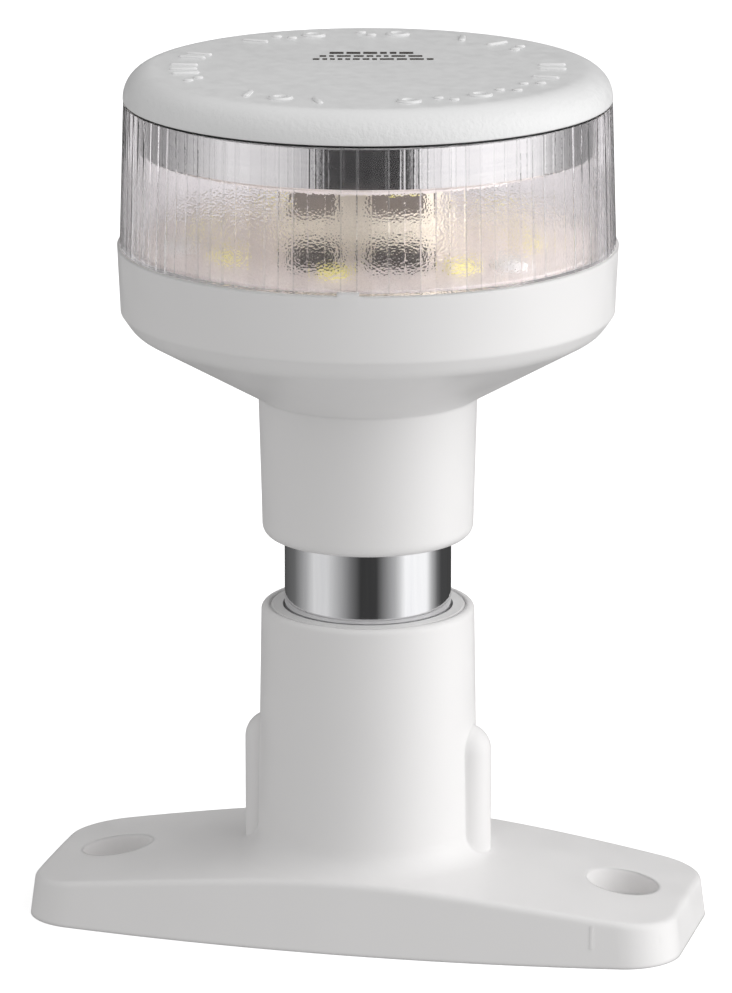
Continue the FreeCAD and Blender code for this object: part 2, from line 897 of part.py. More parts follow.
def main():
    doc = FreeCAD.newDocument("navigation_light")
    fill_sheet(doc)
    pedestal(doc)
    socket_bush(doc)
    clamp_plate(doc)
    head_low = "base_hollow - clamp_thick - screw_head_high"
    clamp_screw = screw_corners(head_low, "clamp_screw_tip", head_up=False)
    screw_ring(doc, "clamp_screws", clamp_screw, "clamp_screw_reach", "2")
    cable_grommet(doc)
    grub_screw(doc, "pole_grub_screw", "pole_grub_rise", "pole_grub_back")
    pole_tube(doc)
    head_housing(doc)
    grub_screw(doc, "neck_grub_screw", "neck_grub_rise", "neck_grub_back")
    neck_o_ring(doc)
    flat_ring(doc, "rim_seal", "rim_seal_inner", "rim_seal_outer", "rim_rise - rim_seal_deep", "rim_rise")
    board(doc, "driver_board", "driver_hole", "driver_radius", "driver_rise", "board_thick",
          ("driver_post_reach", "0"))
    head_top = "driver_rise + board_thick + screw_head_high"
    driver_screw = screw_corners("driver_rise - driver_screw_deep", head_top)
    screw_ring(doc, "driver_screws", driver_screw, "driver_post_reach", "3")
    driver_parts(doc)
    terminal_block(doc)
    pin_ring(doc, "board_pins", "pin_reach", "(driver_rise + board_thick)", "shelf_rise")
    board(doc, "lamp_board", "lamp_board_hole", "lamp_board_radius", "shelf_rise", "lamp_board_thick",
          ("0", "lamp_post_reach"))
    head_top = "shelf_rise + lamp_board_thick + screw_head_high"
    lamp_screw = screw_corners("shelf_rise - lamp_screw_deep", head_top)
    screw_ring(doc, "lamp_board_screws", lamp_screw, "lamp_post_reach", "3", "lamp_post_turn")
    led_ring(doc, "lower_leds", "shelf_rise + lamp_board_thick", "led_turn")
    board_parts(doc, "lamp_board_parts", "shelf_rise + lamp_board_thick", "part_high")
    reflector_column(doc)
    pin_ring(doc, "lamp_pins", "long_pin_reach", "(shelf_rise + lamp_board_thick)", "upper_board_rise")
    flat_ring(doc, "upper_board", "screw_radius", "upper_board_radius", "upper_board_rise", "drum_rise")
    led_ring(doc, "upper_leds", "upper_board_rise - led_high", "upper_led_turn")
    board_parts(doc, "upper_board_parts", "upper_board_rise - upper_part_high", "upper_part_high")
    heat_sink_drum(doc)
    head_top = "drum_rise + drum_wall + drum_hub_high + screw_head_high"
    turned_piece(doc, "drum_screw", screw_corners("upper_board_rise - drum_screw_deep", head_top))
    lens(doc)
    flat_ring(doc, "lens_top_seal", "lens_bore + top_seal_step", "lens_head - top_seal_step",
              "lens_top", "cap_bottom")
    top_cap(doc)
    doc.recompute()
    check_pieces(doc)
    write_pieces()


main()
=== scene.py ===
import json
import math
import random

import bpy
from mathutils import Matrix, Vector


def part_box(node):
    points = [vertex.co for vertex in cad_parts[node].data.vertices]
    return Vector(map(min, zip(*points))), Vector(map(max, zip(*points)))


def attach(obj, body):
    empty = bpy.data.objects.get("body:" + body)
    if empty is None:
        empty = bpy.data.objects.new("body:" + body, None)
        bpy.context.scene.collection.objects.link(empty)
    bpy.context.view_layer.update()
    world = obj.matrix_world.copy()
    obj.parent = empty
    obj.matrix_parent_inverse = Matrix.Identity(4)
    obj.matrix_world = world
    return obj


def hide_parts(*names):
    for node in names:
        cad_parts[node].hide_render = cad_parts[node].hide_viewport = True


# Studio picture of an all-round navigation light. Metres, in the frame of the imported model.

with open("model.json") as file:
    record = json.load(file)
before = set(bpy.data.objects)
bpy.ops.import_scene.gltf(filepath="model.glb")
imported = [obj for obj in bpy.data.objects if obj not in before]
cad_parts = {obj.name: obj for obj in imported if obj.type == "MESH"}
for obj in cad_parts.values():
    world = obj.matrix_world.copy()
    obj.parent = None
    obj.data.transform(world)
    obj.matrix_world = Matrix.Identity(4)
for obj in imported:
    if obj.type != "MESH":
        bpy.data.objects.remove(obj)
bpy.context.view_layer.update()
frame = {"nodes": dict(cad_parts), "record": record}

MM = 0.001
SEGMENTS = 360
ARC_STEPS = 14

# Camera. Turns are to the right of -Y, heights above the horizon.
CAMERA_AZIMUTH = math.radians(13.5)
CAMERA_ELEVATION = math.radians(14.4)
CAMERA_DISTANCE = 0.988
CAMERA_LENS = 235.6
CAMERA_AIM = Vector((-0.0003, 0, 0.0662))
SENSOR_WIDTH = 36
VIEW_END = 20

# Studio. Broad lights: degrees to the camera's right, degrees up, brightness.
FLOOR_REACH = 4.0
FLOOR_DROP = 0.02 * MM
FLOOR_GLOW = 0.5
BACKDROP = (1, 1, 1, 1)
FILL_LIGHT = 0.30
BROAD_LIGHTS = [(72, 18, 2.1), (-98, 10, 0.66), (0, -90, 0.45)]
LOBE_POWER = 2.0

# Light in the lens. LAMP_LIGHT brightens the soft light on what stands inside, THROUGH_LIGHT is what shows
# straight through, and WALL_LIGHT what is mirrored within the wall. A mirrored ray that has crossed more
# faces than CROSSED_WALL has met the drum.
LAMP_LIGHT = 3.0
THROUGH_LIGHT = (0.84, 0.815, 0.83, 1)
WALL_LIGHT = (1.25, 1.22, 1.24, 1)
CROSSED_WALL = 2.5

# Panels mirrored in the metal: degrees to the camera's right, brightness
OVERHEAD = (0.8, 0.8, 0.8, 1)
OVERHEAD_FROM, OVERHEAD_TO = 0.45, 0.8
TUBE_STRIPS = [
    (-180, 0.06), (-150, 0.10), (-122, 0.15), (-97, 0.42), (-80, 0.74), (-60, 0.74),
    (-40, 0.44), (-24, 0.2), (-10, 0.045), (12, 0.05), (29, 0.34), (40, 0.55),
    (54, 1.12), (88, 1.12), (100, 0.5), (112, 0.16), (122, 0.07), (180, 0.05),
]
DRUM_STRIPS = [
    (-180, 0.34), (-132, 0.20), (-112, 0.34), (-90, 0.62), (-74, 0.80), (-46, 0.74),
    (-28, 0.55), (-22, 0.03), (18, 0.03), (26, 0.9), (40, 1.12), (88, 1.12),
    (105, 0.55), (125, 0.22), (180, 0.34),
]

# Lens. GROOVE_FROM is where in half a flat its groove starts; GROOVE_STEPS are the widths to choose from.
FACETS = 100
STEPS_IN_FACET = 10
GROOVE_DEEP = 0.05 * MM
GROOVE_FROM = 0.8
GROOVE_CLEAR = 0.86
GROOVE_STEPS = (0, 0, 1, 1, 2)
FACET_TILT = 0.02
LENS_ROWS = 24
LENS_BORE = 35.1 * MM
LENS_TOP_STEP = 0.35 * MM
LENS_FOOT_GAP = 0.08 * MM
INSIDE_SLACK = 0.05 * MM
FROST_BELOW_DRUM = 3.0 * MM
FROST_OVER_DRUM = 0.5 * MM
PEBBLE_CELLS = 2800
PEBBLE_DEEP = 0.08 * MM
PEBBLE_AT_SLANT = 0.15
SPECKLE_SCALE = 3300

# Moulded shells
EDGE_SOFTENED = 0.9 * MM
BEVEL_SAMPLES = 6

# Cap
CAP_EDGE = 4.4 * MM
CAP_LIP = 0.3 * MM
CAP_SKIN = 2.2 * MM
CAP_INNER_EDGE = 0.4 * MM
SKIRT_OUTER = 32.8 * MM
SKIRT_INNER = 31.4 * MM
SKIRT_EDGE = 0.3 * MM
CAP_CALM = 0.06
PEEL_REACH = 1.6 * MM
PEEL_TOP = 0.1 * MM

# Marks on the cap. A crown is the shares of the height at which a mark's shoulders stand.
MARK_HIGH = 0.3 * MM
MARK_SINK = -0.05 * MM
MARK_CROWN = (0.4, 0.85)
RING_SHOULDER = 0.3
MARK_REACH = 27.6 * MM
MARK_WIDE = 1.0 * MM
MARK_LONG = 4.2 * MM
MARK_DOT = 0.75 * MM
MARK_RING = 1.35 * MM
MARK_SLANT = 0.55
DOT_STEP = (0.8, 0.6)
DOT_APART = 1.3 * MM
# Degrees from +X and the kind of mark
MARKS = [
    (171, "bar"), (177, "bar"), (190, "bar"), (197, "bar"), (204, "bar"), (214, "dots"),
    (244, "slant"), (256, "ring"), (268, "slant"), (296, "ring"), (308, "dots"), (320, "ring"),
    (332, "dots"), (345, "dots"), (356, "bar"), (10, "bar"), (17, "bar"), (48, "dots"),
    (58, "bar"), (72, "slant"), (94, "ring"), (104, "dots"), (121, "ring"), (131, "dots"),
    (142, "slant"),
]
# Printed rows in mm: place up the cap, height, length
PRINT_ROWS = [(2.6, 1.7, 13.4), (0.0, 1.3, 16.4), (-2.5, 1.3, 18.4)]
PRINT_DASHES = (0.7, 1.0, 1.5, 2.1)
PRINT_GAP = 0.45
PRINT_LEAST = 0.5
PRINT_PROUD = 0.02 * MM
PRINT_CENTRE = Vector((-1.2, 8.9, 0)) * MM


# ---------------------------------------------------------------- meshes


def new_piece(name, verts, faces, body, material, replaced=()):
    """A mesh object riding on a body, with its finish and the CAD nodes it stands for."""
    mesh = bpy.data.meshes.new(name)
    mesh.from_pydata(verts, [], faces)
    mesh.validate()
    mesh.update()
    piece = bpy.data.objects.new(name, mesh)
    bpy.context.scene.collection.objects.link(piece)
    piece.data.materials.append(material)
    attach(piece, body)
    if replaced:
        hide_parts(*replaced)
    return piece


def smooth(piece, degrees=35):
    """Smooth shading with a crisp line wherever two faces meet at more than the angle."""
    mesh = piece.data
    mesh.shade_smooth()
    mesh.set_sharp_from_angle(angle=math.radians(degrees))


def lathe(profile, segments=SEGMENTS, radius_at=None):
    """Vertices and faces of (radius, height) points turned about Z.

    Points on the axis become one vertex. radius_at(index, radius, angle) may reshape a ring.
    """
    verts, rings = [], []
    for index, (radius, height) in enumerate(profile):
        if radius == 0:
            rings.append([len(verts)] * segments)
            verts.append((0, 0, height))
            continue
        rings.append(list(range(len(verts), len(verts) + segments)))
        for step in range(segments):
            angle = 2 * math.pi * step / segments
            reach = radius_at(index, radius, angle) if radius_at else radius
            verts.append((reach * math.cos(angle), reach * math.sin(angle), height))
    faces = []
    closed = profile[0][0] != 0 or profile[-1][0] != 0
    pairs = list(zip(rings, rings[1:]))
    if closed:
        pairs.append((rings[-1], rings[0]))
    for low, high in pairs:
        for step in range(segments):
            following = (step + 1) % segments
            corners = [low[step], low[following], high[following], high[step]]
            faces.append(tuple(dict.fromkeys(corners)))
    return verts, faces


def rounded(corners, steps=ARC_STEPS):
    """A profile of (radius, height, rounding) corners, with an arc at each corner that has a rounding."""
    profile = []
    count = len(corners)
    for index, (x, y, rounding) in enumerate(corners):
        here = Vector((x, y))
        if not rounding:
            profile.append((x, y))
            continue
        before = (Vector(corners[index - 1][:2]) - here).normalized()
        after = (Vector(corners[(index + 1) % count][:2]) - here).normalized()
        half = before.angle(after) / 2
        back = rounding / math.tan(half)
        centre = here + (before + after).normalized() * rounding / math.sin(half)
        start, finish = here + before * back, here + after * back
        first = start - centre
        sweep = first.angle_signed(finish - centre)
        for step in range(steps + 1):
            arm = first.copy()
            arm.rotate(Matrix.Rotation(-sweep * step / steps, 2))
            profile.append((centre.x + arm.x, centre.y + arm.y))
    return profile


# ---------------------------------------------------------------- materials


class Shader:
    """A node material built by short calls."""

    def __init__(self, name):
        self.material = bpy.data.materials.new(name)
        self.material.use_nodes = True
        self.tree = self.material.node_tree
        self.tree.nodes.clear()
        self.output = self.tree.nodes.new("ShaderNodeOutputMaterial")
        self.surface = self.tree.nodes.new("ShaderNodeBsdfPrincipled")
        self.tree.links.new(self.surface.outputs[0], self.output.inputs[0])
        self.place = self.tree.nodes.new("ShaderNodeTexCoord").outputs["Object"]

    def set(self, **values):
        for name, value in values.items():
            self.surface.inputs[name.replace("_", " ")].default_value = value
        return self

    def link(self, start, finish):
        self.tree.links.new(start, finish)

    def noise(self, scale, detail=3, roughness=0.5, stretch=None):
        node = self.tree.nodes.new("ShaderNodeTexNoise")
        node.inputs["Scale"].default_value = scale
        node.inputs["Detail"].default_value = detail
        node.inputs["Roughness"].default_value = roughness
        place = self.place
        if stretch:
            mapping = self.tree.nodes.new("ShaderNodeMapping")
            mapping.inputs["Scale"].default_value = stretch
            self.link(place, mapping.inputs["Vector"])
            place = mapping.outputs["Vector"]
        self.link(place, node.inputs["Vector"])
        return node.outputs["Fac"]

    def cells(self, scale, smoothness=0.4):
        node = self.tree.nodes.new("ShaderNodeTexVoronoi")
        node.feature = "SMOOTH_F1"
        node.inputs["Scale"].default_value = scale
        node.inputs["Smoothness"].default_value = smoothness
        self.link(self.place, node.inputs["Vector"])
        return node.outputs["Distance"]

    def span(self, value, low, high, start=0.3, finish=0.7):
        """Spreads a texture's middle range between two values."""
        node = self.tree.nodes.new("ShaderNodeMapRange")
        node.inputs["From Min"].default_value = start
        node.inputs["From Max"].default_value = finish
        node.inputs["To Min"].default_value = low
        node.inputs["To Max"].default_value = high
        self.link(value, node.inputs["Value"])
        return node.outputs["Result"]

    def maths(self, operation, first, second):
        node = self.tree.nodes.new("ShaderNodeMath")
        node.operation = operation
        self.link(first, node.inputs[0])
        self.link(second, node.inputs[1])
        return node.outputs[0]

    def times(self, first, second):
        return self.maths("MULTIPLY", first, second)

    def greater(self, first, second):
        return self.maths("MAXIMUM", first, second)

    def split(self):
        node = self.tree.nodes.new("ShaderNodeSeparateXYZ")
        self.link(self.place, node.inputs[0])
        return node.outputs

    def height(self):
        return self.split()["Z"]

    def facet_shade_chance(self):
        """A random number that stays the same across each flat of the lens, which sets the painted shade of
        each flat.
        """
        place = self.split()
        angle = self.maths("ARCTAN2", place["Y"], place["X"])
        place = self.tree.nodes.new("ShaderNodeMath")
        place.operation = "DIVIDE"
        place.inputs[1].default_value = 2 * math.pi / FACETS
        self.link(angle, place.inputs[0])
        number = self.tree.nodes.new("ShaderNodeMath")
        number.operation = "FLOOR"
        self.link(place.outputs[0], number.inputs[0])
        chance = self.tree.nodes.new("ShaderNodeTexWhiteNoise")
        chance.noise_dimensions = "1D"
        self.link(number.outputs[0], chance.inputs["W"])
        return chance.outputs["Value"]

    def blend(self, value, first, second, start=0.3, finish=0.7):
        """Blends two colours by a texture."""
        node = self.tree.nodes.new("ShaderNodeMix")
        node.data_type = "RGBA"
        self.link(self.span(value, 0, 1, start, finish), node.inputs["Factor"])
        node.inputs["A"].default_value = (*first, 1)
        node.inputs["B"].default_value = (*second, 1)
        self.link(node.outputs["Result"], self.surface.inputs["Base Color"])
        return self

    def roughness(self, value, low, high):
        self.link(self.span(value, low, high), self.surface.inputs["Roughness"])
        return self

    def bump(self, value, depth, strength=1.0, under=None):
        """Raises the surface by up to the depth; under is the bump below it."""
        node = self.tree.nodes.new("ShaderNodeBump")
        node.inputs["Strength"].default_value = strength
        node.inputs["Distance"].default_value = depth
        self.link(value, node.inputs["Height"])
        if under:
            self.link(under, node.inputs["Normal"])
        self.link(node.outputs["Normal"], self.surface.inputs["Normal"])
        return node.outputs["Normal"]


def plastic(name, light, dark, grain_scale, grain_deep, low=0.36, high=0.48, softened=0):
    """Moulded plastic: faint clouding, a fine grain and a slightly uneven sheen.

    softened is the radius over which its edges are shaded round.
    """
    shader = Shader(name).set(Specular_IOR_Level=0.4)
    shader.blend(shader.noise(28, 4), dark, light)
    shader.roughness(shader.noise(160, 3), low, high)
    under = None
    if softened:
        edges = shader.tree.nodes.new("ShaderNodeBevel")
        edges.samples = BEVEL_SAMPLES
        edges.inputs["Radius"].default_value = softened
        under = edges.outputs["Normal"]
    wide = shader.bump(shader.noise(90, 2), 0.02 * MM, 0.5, under=under)
    shader.bump(shader.noise(grain_scale, 2), grain_deep, 0.6, under=wide)
    return shader.material


def white_plastic():
    return plastic("white_plastic", (0.815, 0.805, 0.802), (0.785, 0.775, 0.772), 1700, 0.012 * MM,
                   softened=EDGE_SOFTENED)


def white_bush():
    return plastic("white_bush", (0.76, 0.755, 0.75), (0.72, 0.715, 0.71), 2400, 0.008 * MM)


def cap_plastic():
    """White plastic with an orange-peel grain that is strongest round the edge."""
    shader = Shader("cap_plastic").set(Specular_IOR_Level=0.4)
    shader.blend(shader.noise(30, 4), (0.785, 0.785, 0.785), (0.82, 0.82, 0.82))
    shader.roughness(shader.noise(500, 2), 0.30, 0.42)
    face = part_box("top_cap")[1].z - MARK_HIGH
    edge = shader.span(shader.height(), 1, CAP_CALM, face - PEEL_REACH, face - PEEL_TOP)
    peel = shader.times(shader.noise(1300, 2, 0.6), edge)
    coarse = shader.bump(peel, 0.13 * MM, 0.9)
    shader.bump(shader.noise(2600, 2), 0.006 * MM, 0.5, under=coarse)
    return shader.material


def grey_seal():
    return plastic("grey_seal", (0.42, 0.40, 0.38), (0.34, 0.32, 0.31), 2200, 0.01 * MM, 0.4, 0.55)


def metal(name, colour, shade, low, high, streak):
    """Bright metal with fine streaks that run the way it was polished."""
    shader = Shader(name).set(Metallic=1.0)
    lines = shader.noise(60, 4, 0.6, stretch=streak)
    shader.blend(lines, shade, colour)
    shader.roughness(lines, low, high)
    shader.bump(shader.noise(60, 3, 0.6, stretch=streak), 0.002 * MM, 0.4)
    return shader.material


def polished_tube():
    return metal("polished_tube", (0.86, 0.86, 0.87), (0.78, 0.78, 0.80), 0.05, 0.11, (14, 14, 0.6))


def polished_drum():
    return metal("polished_drum", (0.95, 0.95, 0.95), (0.88, 0.88, 0.89), 0.04, 0.10, (1, 1, 18))


def stainless_screws():
    return metal("stainless_screws", (0.66, 0.66, 0.67), (0.52, 0.52, 0.54), 0.22, 0.38, (8, 8, 8))


def brass_pins():
    return metal("brass_pins", (0.83, 0.62, 0.28), (0.66, 0.46, 0.18), 0.18, 0.34, (8, 8, 8))


def black_rubber():
    return plastic("black_rubber", (0.018, 0.018, 0.019), (0.010, 0.010, 0.011), 2200, 0.02 * MM, 0.45, 0.65)


def component_tan():
    return plastic("component_tan", (0.24, 0.205, 0.18), (0.18, 0.155, 0.135), 2600, 0.01 * MM, 0.4, 0.6)


def component_black():
    return plastic("component_black", (0.074, 0.066, 0.060), (0.046, 0.040, 0.036), 2600, 0.01 * MM, 0.4, 0.6)


def circuit_board():
    """White board lacquer with faint tracks under it."""
    shader = Shader("circuit_board").set(Specular_IOR_Level=0.5)
    shader.blend(shader.cells(140), (0.90, 0.84, 0.82), (0.86, 0.79, 0.76))
    shader.roughness(shader.noise(300), 0.28, 0.42)
    shader.bump(shader.cells(140), 0.02 * MM, 0.5)
    return shader.material


def driver_board_green():
    shader = Shader("driver_board_green").set(Specular_IOR_Level=0.5)
    shader.blend(shader.cells(180), (0.02, 0.13, 0.06), (0.03, 0.20, 0.10))
    shader.roughness(shader.noise(300), 0.25, 0.4)
    shader.bump(shader.cells(180), 0.02 * MM, 0.5)
    return shader.material


def terminal_green():
    return plastic("terminal_green", (0.09, 0.30, 0.15), (0.06, 0.24, 0.11), 1800, 0.01 * MM)


def reflector_white():
    return plastic("reflector_white", (0.93, 0.88, 0.77), (0.88, 0.82, 0.70), 1500, 0.01 * MM, 0.25, 0.4)


def led_yellow():
    """Phosphor resin, a little granular."""
    shader = Shader("led_yellow").set(Specular_IOR_Level=0.5)
    shader.blend(shader.noise(1500, 3), (0.86, 0.79, 0.22), (0.92, 0.87, 0.38))
    shader.roughness(shader.noise(900), 0.3, 0.5)
    shader.bump(shader.noise(2200, 2), 0.02 * MM, 0.6)
    return shader.material


def clear_lens(name, pebbled):
    """Clear polycarbonate; the outside flats each carry a painted shade, and the inside is pebbled below the
    drum, and less where it is seen at a slant.
    """
    shader = Shader(name).set(Transmission_Weight=1.0, IOR=1.45, Base_Color=(0.975, 0.96, 0.968, 1))
    if not pebbled:
        # Painted shade: each outer flat is made lighter or darker at random, standing in for the light that
        # each flat bends and mirrors its own way.
        shader.blend(shader.facet_shade_chance(), (0.85, 0.838, 0.845), (1.0, 0.99, 0.995), 0, 1)
        shader.roughness(shader.noise(400), 0.0, 0.03)
        shader.bump(shader.noise(150, 2), 0.01 * MM, 0.06)
        return shader.material
    drum_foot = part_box("heat_sink_drum")[0].z
    low, high = drum_foot - FROST_BELOW_DRUM, drum_foot + FROST_OVER_DRUM
    frosted = shader.span(shader.height(), 1, 0, low, high)
    shader.link(shader.span(frosted, 0.02, 0.2, 0, 1), shader.surface.inputs["Roughness"])
    grain = shader.times(shader.cells(PEBBLE_CELLS, 0.3), shader.span(frosted, 0.2, 1, 0, 1))
    slant = shader.tree.nodes.new("ShaderNodeLayerWeight").outputs["Facing"]
    grain = shader.times(grain, shader.span(slant, 1, PEBBLE_AT_SLANT, 0.06, 0.24))
    shader.bump(grain, PEBBLE_DEEP, 0.9)
    speckle = shader.span(shader.noise(SPECKLE_SCALE, 2, 0.6), 0, 1, 0.38, 0.62)
    clear = shader.span(frosted, 0.8, 0, 0, 1)
    shader.blend(shader.greater(speckle, clear), (0.88, 0.865, 0.872), (1.0, 0.985, 0.992), 0, 1)
    return shader.material


MATERIALS = {
    "white_plastic": white_plastic(),
    "white_bush": white_bush(),
    "polished_tube": polished_tube(),
    "polished_drum": polished_drum(),
    "stainless_screws": stainless_screws(),
    "black_rubber": black_rubber(),
    "grey_seal": grey_seal(),
    "clear_lens": clear_lens("clear_lens", pebbled=False),
    "cap_plastic": cap_plastic(),
    "circuit_board": circuit_board(),
    "driver_board_green": driver_board_green(),
    "led_yellow": led_yellow(),
    "component_black": component_black(),
    "component_tan": component_tan(),
    "reflector_white": reflector_white(),
    "terminal_green": terminal_green(),
    "brass_pins": brass_pins(),
}


def dress_cad_nodes():
    """Gives every CAD node its slot's material."""
    for part in frame["record"]["subparts"]:
        node = frame["nodes"][part["node"]]
        node.data.materials.clear()
        node.data.materials.append(MATERIALS[part["material_slot"]])


# ---------------------------------------------------------------- lens


def facet_tilts():
    """Each flat of the lens leans a little its own way, as moulded facets do."""
    chance = random.Random(7)
    return [chance.uniform(-FACET_TILT, FACET_TILT) for _ in range(FACETS)]


def facet_radius(radius, angle, tilts):
    """The radius of a many-sided prism whose sides meet in fine grooves."""
    half = math.pi / FACETS
    number = int(angle / (2 * half)) % FACETS
    within = (angle % (2 * half)) - half
    flat = radius * math.cos(half) / math.cos(within)
    edge = abs(within) / half
    groove = GROOVE_DEEP * max(0.0, (edge - GROOVE_FROM) / (1 - GROOVE_FROM))
    return flat + tilts[number] * radius * within - groove


def lens_profile(foot, head, bottom, top):
    """The outside from foot to head, then the straight bore back down."""
    outer = []
    for row in range(LENS_ROWS + 1):
        share = row / LENS_ROWS
        outer.append((foot + (head - foot) * share - GROOVE_DEEP, bottom + (top - bottom) * share))
    inner = [(LENS_BORE, height) for _, height in reversed(outer)]
    return outer + inner


def mark_inside(piece):
    """Gives the bore the second material."""
    for face in piece.data.polygons:
        centre = face.center
        if math.hypot(centre.x, centre.y) < LENS_BORE + INSIDE_SLACK:
            face.material_index = 1


def mark_grooves(piece):
    """Gives the steps beside some of the grooves the third material."""
    chance = random.Random(3)
    frosted_steps = [chance.choice(GROOVE_STEPS) for _ in range(FACETS)]
    segments = FACETS * STEPS_IN_FACET
    for number in range(LENS_ROWS * segments):
        facet, step = divmod(number % segments, STEPS_IN_FACET)
        if step < frosted_steps[facet]:
            piece.data.polygons[number].material_index = 2


def lens():
    """The clear lens with its flats and grooves, standing just off the rim."""
    low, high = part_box("lens")
    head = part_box("lens_top_seal")[1].x + LENS_TOP_STEP
    tilts = facet_tilts()

    def radius_at(index, radius, angle):
        return facet_radius(radius, angle, tilts) if index <= LENS_ROWS else radius

    profile = lens_profile(high.x, head, low.z + LENS_FOOT_GAP, high.z)
    verts, faces = lathe(profile, FACETS * STEPS_IN_FACET, radius_at)
    piece = new_piece("fluted_lens", verts, faces, "cover", MATERIALS["clear_lens"], ["lens"])
    piece.data.materials.append(clear_lens("clear_lens_inside", pebbled=True))
    mark_inside(piece)
    groove = clear_lens("clear_lens_groove", pebbled=False)
    surface = groove.node_tree.nodes["Principled BSDF"]
    surface.inputs["Transmission Weight"].default_value = GROOVE_CLEAR
    piece.data.materials.append(groove)
    mark_grooves(piece)
    smooth(piece, 1)


# ---------------------------------------------------------------- cap


def ring_of_points(centre, radius, count, start=0.0):
    points = []
    for step in range(count):
        angle = start + 2 * math.pi * step / count
        points.append(centre + Vector((math.cos(angle), math.sin(angle))) * radius)
    return points


def stadium(centre, direction, long, wide, steps=6):
    """The outline of a bar with round ends."""
    points = []
    half = long / 2 - wide / 2
    heading = math.atan2(direction.y, direction.x)
    for end, turn in ((half, -math.pi / 2), (-half, math.pi / 2)):
        for step in range(steps + 1):
            angle = heading + turn + math.pi * step / steps
            points.append(centre + direction * end + Vector((math.cos(angle), math.sin(angle))) * wide / 2)
    return points


def shrunk(points, centre, amount):
    """The outline moved inwards by about the amount."""
    return [point + (centre - point).normalized() * amount for point in points]


class Relief:
    """Raised marks gathered into one mesh."""

    def __init__(self, face):
        self.face = face
        self.verts, self.faces = [], []

    def loops(self, loops, top=True):
        """Skins a stack of equal loops of (x, y) at their heights, closed at the top."""
        first = len(self.verts)
        count = len(loops[0][0])
        for points, height in loops:
            self.verts += [(point.x, point.y, self.face + height) for point in points]
        for level in range(len(loops) - 1):
            for step in range(count):
                low = first + level * count
                following = (step + 1) % count
                self.faces.append((low + step, low + following, low + count + following, low + count + step))
        if top:
            last = first + (len(loops) - 1) * count
            self.faces.append(tuple(range(last, last + count)))

    def crown(self, outline, upper, crest):
        """A raised mark with rounded shoulders."""
        lower, shoulder = MARK_CROWN
        self.loops([
            (outline, MARK_SINK),
            (outline, lower * MARK_HIGH),
            (upper, shoulder * MARK_HIGH),
            (crest, MARK_HIGH),
        ])

    def bar(self, centre, direction):
        outline = stadium(centre, direction, MARK_LONG, MARK_WIDE)
        upper = stadium(centre, direction, MARK_LONG - MARK_HIGH, MARK_WIDE - MARK_HIGH)
        crest = stadium(centre, direction, MARK_LONG - 2 * MARK_HIGH, MARK_WIDE - 2 * MARK_HIGH)
        self.crown(outline, upper, crest)

    def dot(self, centre):
        outline = ring_of_points(centre, MARK_DOT, 20)
        self.crown(outline, shrunk(outline, centre, 0.5 * MARK_HIGH), shrunk(outline, centre, MARK_HIGH))

    def ring(self, centre):
        wide = MARK_WIDE / 2
        shoulder = RING_SHOULDER * MARK_HIGH
        outside = [(wide, MARK_SINK), (wide, shoulder), (0.5 * wide, MARK_HIGH)]
        inside = [(-shift, height) for shift, height in reversed(outside)]
        loops = []
        for shift, height in outside + inside:
            loops.append((ring_of_points(centre, MARK_RING + shift, 28), height))
        self.loops(loops, top=False)


def cap_marks(face):
    relief = Relief(face)
    for degrees, kind in MARKS:
        angle = math.radians(degrees)
        outward = Vector((math.cos(angle), math.sin(angle)))
        across = Vector((-outward.y, outward.x))
        centre = outward * MARK_REACH
        if kind == "bar":
            relief.bar(centre, outward)
        elif kind == "slant":
            relief.bar(centre, (outward + across * MARK_SLANT).normalized())
        elif kind == "ring":
            relief.ring(centre)
        else:
            apart = outward * DOT_STEP[0] + across * DOT_STEP[1]
            for side in (-1, 1):
                relief.dot(centre + apart * side * DOT_APART)
    return relief


def cap():
    """The moulded cap: a rounded lid with a skirt inside the lens, and raised marks round its face."""
    low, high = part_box("top_cap")
    seal_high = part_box("lens_top_seal")[1]
    face = high.z - MARK_HIGH
    skin = face - CAP_SKIN
    corners = [
        (0, skin, 0),
        (SKIRT_INNER, skin, CAP_INNER_EDGE),
        (SKIRT_INNER, low.z, 0),
        (SKIRT_OUTER, low.z, SKIRT_EDGE),
        (SKIRT_OUTER, seal_high.z, 0),
        (high.x, seal_high.z, CAP_LIP),
        (high.x, face, CAP_EDGE),
        (0, face, 0),
    ]
    verts, faces = lathe(rounded(corners))
    relief = cap_marks(face)
    first = len(verts)
    verts += relief.verts
    faces += [tuple(first + corner for corner in side) for side in relief.faces]
    material = MATERIALS["cap_plastic"]
    piece = new_piece("moulded_cap", verts, faces, "cover", material, ["top_cap"])
    smooth(piece, 32)
    cap_print(face)


def cap_print(face):
    """Three printed rows of plain dashes in the middle of the cap."""
    chance = random.Random(11)
    along = Vector((math.cos(CAMERA_AZIMUTH), math.sin(CAMERA_AZIMUTH), 0))
    away = Vector((-along.y, along.x, 0))
    verts, faces = [], []
    for rise, high, long in PRINT_ROWS:
        place = -long / 2
        low, top = rise - high / 2, rise + high / 2
        while place < long / 2 - PRINT_LEAST:
            width = min(chance.choice(PRINT_DASHES), long / 2 - place)
            right = place + width
            first = len(verts)
            for x, y in ((place, low), (right, low), (right, top), (place, top)):
                spot = PRINT_CENTRE + (along * x + away * y) * MM
                verts.append((spot.x, spot.y, face + PRINT_PROUD))
            faces.append((first, first + 1, first + 2, first + 3))
            place = right + PRINT_GAP
    new_piece("cap_print", verts, faces, "cover", MATERIALS["component_black"])


# ---------------------------------------------------------------- studio


